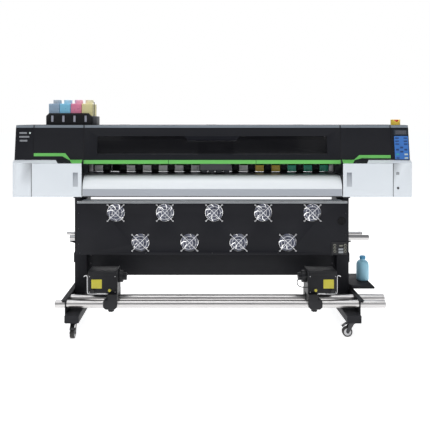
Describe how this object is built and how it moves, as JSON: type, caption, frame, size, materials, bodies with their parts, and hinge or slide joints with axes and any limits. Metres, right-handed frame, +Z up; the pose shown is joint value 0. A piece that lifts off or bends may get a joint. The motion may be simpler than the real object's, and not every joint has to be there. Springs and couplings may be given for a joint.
{
  "type": "wide-format printer cutter",
  "caption": "Roll-fed wide-format printer cutter on a castored stand, with a hinged windowed hood, drying fan panel, take-up chucks and ink tank tray.",
  "frame": {"origin": "on the floor under the middle of the machine's overall box", "axes": "+X to the operator's right, +Y to the back, +Z up; the operator stands at -Y"},
  "size_m": [2.58, 0.7, 1.51],
  "materials": {
    "stand_paint": "satin powder coat",
    "bright_tube": "drawn bright tube",
    "fan_plastic": "moulded",
    "guard_wire": "plated wire",
    "rotor_plastic": "moulded",
    "socket_metal": "plated",
    "black_cover": "satin",
    "smoked_window": "smoked acrylic",
    "white_cover": "satin",
    "frame_steel": "satin",
    "platen_white": "satin",
    "deck_aluminium": "anodised",
    "roller_grit": "grit blasted",
    "black_plastic": "moulded",
    "roller_rubber": "matt",
    "cable_rubber": "matt",
    "console_plastic": "moulded",
    "stop_red": "gloss",
    "tank_plastic": "translucent moulding",
    "cap_plastic": "moulded",
    "bottle_plastic": "translucent moulding",
    "caster_steel": "zinc plated",
    "caster_tread": "moulded tread"
  },
  "bodies": {
    "root": {"legs": "stand_paint", "feet": "stand_paint", "cross_beam": "stand_paint", "stand_brackets": "stand_paint", "fan_panel": "stand_paint", "stand_tubes": "bright_tube", "fan_housings": "fan_plastic", "fan_guards": "guard_wire", "socket_panel": "socket_metal", "upper_covers": "black_cover", "end_caps": "black_cover", "rear_cover": "black_cover", "lower_covers": "white_cover", "side_frames": "frame_steel", "drive_motor": "frame_steel", "front_platen": "platen_white", "print_platen": "deck_aluminium", "head_beam": "deck_aluminium", "ink_tray": "black_plastic", "drive_belt": "roller_rubber", "control_panel": "console_plastic", "ink_tanks": "tank_plastic", "ink_caps": "cap_plastic"},
    "hood": {"hood": "black_cover", "hood_window": "smoked_window"},
    "left_door": {"left_door": "white_cover"},
    "right_door": {"right_door": "white_cover"},
    "carriage": {"carriage": "black_plastic"},
    "motor_pulley": {"motor_pulley": "deck_aluminium"},
    "idler_pulley": {"idler_pulley": "deck_aluminium"},
    "grit_roller": {"grit_roller": "roller_grit"},
    "pinch_arms": {"pinch_arms": "black_plastic"},
    "pinch_rollers": {"pinch_rollers": "roller_rubber"},
    "left_take_up": {"left_take_up": "black_plastic"},
    "right_take_up": {"right_take_up": "black_plastic", "take_up_cable": "cable_rubber"},
    "left_chuck": {"left_chuck": "black_plastic"},
    "right_chuck": {"right_chuck": "black_plastic"},
    "left_clamp_knob": {"left_clamp_knob": "black_plastic"},
    "right_clamp_knob": {"right_clamp_knob": "black_plastic"},
    "feed_shaft": {"feed_shaft": "bright_tube"},
    "estop_button": {"estop_button": "stop_red"},
    "waste_bottle": {"waste_bottle": "bottle_plastic"},
    "fan_rotor_1": {"fan_rotor_1": "rotor_plastic"},
    "fan_rotor_2": {"fan_rotor_2": "rotor_plastic"},
    "fan_rotor_3": {"fan_rotor_3": "rotor_plastic"},
    "fan_rotor_4": {"fan_rotor_4": "rotor_plastic"},
    "fan_rotor_5": {"fan_rotor_5": "rotor_plastic"},
    "fan_rotor_6": {"fan_rotor_6": "rotor_plastic"},
    "fan_rotor_7": {"fan_rotor_7": "rotor_plastic"},
    "fan_rotor_8": {"fan_rotor_8": "rotor_plastic"},
    "fan_rotor_9": {"fan_rotor_9": "rotor_plastic"},
    "front_left_caster": {"front_left_caster_fork": "caster_steel"},
    "front_left_wheel": {"front_left_caster_wheel": "caster_tread"},
    "front_right_caster": {"front_right_caster_fork": "caster_steel"},
    "front_right_wheel": {"front_right_caster_wheel": "caster_tread"},
    "rear_left_caster": {"rear_left_caster_fork": "caster_steel"},
    "rear_left_wheel": {"rear_left_caster_wheel": "caster_tread"},
    "rear_right_caster": {"rear_right_caster_fork": "caster_steel"},
    "rear_right_wheel": {"rear_right_caster_wheel": "caster_tread"}
  },
  "joints": [
    {"name": "hood_hinge", "type": "hinge", "parent": "root", "child": "hood", "pos_m": [0, 0.052, 1.331], "axis": [-1, 0, 0], "range_deg": [0, 65]},
    {"name": "left_door_hinge", "type": "hinge", "parent": "root", "child": "left_door", "pos_m": [-1.167, -0.21, 0.978], "axis": [0, 0, -1], "range_deg": [0, 110]},
    {"name": "right_door_hinge", "type": "hinge", "parent": "root", "child": "right_door", "pos_m": [1.167, -0.21, 0.978], "axis": [0, 0, 1], "range_deg": [0, 110]},
    {"name": "carriage_slide", "type": "slide", "parent": "root", "child": "carriage", "axis": [1, 0, 0], "range_m": [-1.02, 0.98]},
    {"name": "motor_pulley_spin", "type": "hinge", "parent": "root", "child": "motor_pulley", "pos_m": [1.12, 0.035, 1.267], "axis": [0, 0, 1], "continuous": true},
    {"name": "idler_pulley_spin", "type": "hinge", "parent": "root", "child": "idler_pulley", "pos_m": [-1.12, 0.035, 1.267], "axis": [0, 0, 1], "continuous": true},
    {"name": "grit_spin", "type": "hinge", "parent": "root", "child": "grit_roller", "pos_m": [0, 0.03, 0.992], "axis": [1, 0, 0], "continuous": true},
    {"name": "pinch_lift", "type": "hinge", "parent": "root", "child": "pinch_arms", "pos_m": [0, 0.08, 1.062], "axis": [-1, 0, 0], "range_deg": [0, 8]},
    {"name": "pinch_spin", "type": "hinge", "parent": "pinch_arms", "child": "pinch_rollers", "pos_m": [0, 0.03, 1.0139], "axis": [1, 0, 0], "continuous": true},
    {"name": "left_take_up_slide", "type": "slide", "parent": "root", "child": "left_take_up", "axis": [1, 0, 0], "range_m": [-0.1, 0.5]},
    {"name": "right_take_up_slide", "type": "slide", "parent": "root", "child": "right_take_up", "axis": [-1, 0, 0], "range_m": [-0.1, 0.5]},
    {"name": "left_chuck_spin", "type": "hinge", "parent": "left_take_up", "child": "left_chuck", "pos_m": [-0.59, -0.215, 0.361], "axis": [1, 0, 0], "continuous": true},
    {"name": "right_chuck_spin", "type": "hinge", "parent": "right_take_up", "child": "right_chuck", "pos_m": [0.59, -0.215, 0.361], "axis": [1, 0, 0], "continuous": true},
    {"name": "left_knob_turn", "type": "hinge", "parent": "left_take_up", "child": "left_clamp_knob", "pos_m": [-0.643, -0.277, 0.166], "axis": [0, 0, 1], "range_deg": [0, 360]},
    {"name": "right_knob_turn", "type": "hinge", "parent": "right_take_up", "child": "right_clamp_knob", "pos_m": [0.643, -0.277, 0.166], "axis": [0, 0, 1], "range_deg": [0, 360]},
    {"name": "feed_spin", "type": "hinge", "parent": "root", "child": "feed_shaft", "pos_m": [0, 0.27, 0.507], "axis": [1, 0, 0], "continuous": true},
    {"name": "estop_press", "type": "slide", "parent": "root", "child": "estop_button", "axis": [0, 0, -1], "range_m": [0, 0.004], "stiffness_N_per_m": 600},
    {"name": "bottle_lift", "type": "slide", "parent": "root", "child": "waste_bottle", "axis": [0, 0, 1], "range_m": [0, 0.15]},
    {"name": "fan_spin_1", "type": "hinge", "parent": "root", "child": "fan_rotor_1", "pos_m": [-0.628, -0.166, 0.762], "axis": [0, 1, 0], "continuous": true},
    {"name": "fan_spin_2", "type": "hinge", "parent": "root", "child": "fan_rotor_2", "pos_m": [-0.308, -0.166, 0.762], "axis": [0, 1, 0], "continuous": true},
    {"name": "fan_spin_3", "type": "hinge", "parent": "root", "child": "fan_rotor_3", "pos_m": [0.012, -0.166, 0.762], "axis": [0, 1, 0], "continuous": true},
    {"name": "fan_spin_4", "type": "hinge", "parent": "root", "child": "fan_rotor_4", "pos_m": [0.332, -0.166, 0.762], "axis": [0, 1, 0], "continuous": true},
    {"name": "fan_spin_5", "type": "hinge", "parent": "root", "child": "fan_rotor_5", "pos_m": [0.652, -0.166, 0.762], "axis": [0, 1, 0], "continuous": true},
    {"name": "fan_spin_6", "type": "hinge", "parent": "root", "child": "fan_rotor_6", "pos_m": [-0.468, -0.166, 0.568], "axis": [0, 1, 0], "continuous": true},
    {"name": "fan_spin_7", "type": "hinge", "parent": "root", "child": "fan_rotor_7", "pos_m": [-0.148, -0.166, 0.568], "axis": [0, 1, 0], "continuous": true},
    {"name": "fan_spin_8", "type": "hinge", "parent": "root", "child": "fan_rotor_8", "pos_m": [0.172, -0.166, 0.568], "axis": [0, 1, 0], "continuous": true},
    {"name": "fan_spin_9", "type": "hinge", "parent": "root", "child": "fan_rotor_9", "pos_m": [0.492, -0.166, 0.568], "axis": [0, 1, 0], "continuous": true},
    {"name": "front_left_swivel", "type": "hinge", "parent": "root", "child": "front_left_caster", "pos_m": [-0.877, -0.285, 0.09], "axis": [0, 0, 1], "continuous": true},
    {"name": "front_left_roll", "type": "hinge", "parent": "front_left_caster", "child": "front_left_wheel", "pos_m": [-0.877, -0.313, 0.0315], "axis": [1, 0, 0], "continuous": true},
    {"name": "front_right_swivel", "type": "hinge", "parent": "root", "child": "front_right_caster", "pos_m": [0.877, -0.285, 0.09], "axis": [0, 0, 1], "continuous": true},
    {"name": "front_right_roll", "type": "hinge", "parent": "front_right_caster", "child": "front_right_wheel", "pos_m": [0.849, -0.285, 0.0315], "axis": [0, 1, 0], "continuous": true},
    {"name": "rear_left_swivel", "type": "hinge", "parent": "root", "child": "rear_left_caster", "pos_m": [-0.877, 0.285, 0.09], "axis": [0, 0, 1], "continuous": true},
    {"name": "rear_left_roll", "type": "hinge", "parent": "rear_left_caster", "child": "rear_left_wheel", "pos_m": [-0.877, 0.313, 0.0315], "axis": [1, 0, 0], "continuous": true},
    {"name": "rear_right_swivel", "type": "hinge", "parent": "root", "child": "rear_right_caster", "pos_m": [0.877, 0.285, 0.09], "axis": [0, 0, 1], "continuous": true},
    {"name": "rear_right_roll", "type": "hinge", "parent": "rear_right_caster", "child": "rear_right_wheel", "pos_m": [0.877, 0.313, 0.0315], "axis": [1, 0, 0], "continuous": true}
  ],
  "couplings": [
    {"joint": "motor_pulley_spin", "follows": "carriage_slide", "rad_per_m": 83.333},
    {"joint": "idler_pulley_spin", "follows": "carriage_slide", "rad_per_m": 83.333},
    {"joint": "pinch_spin", "follows": "grit_spin", "ratio": -1.3889}
  ]
}
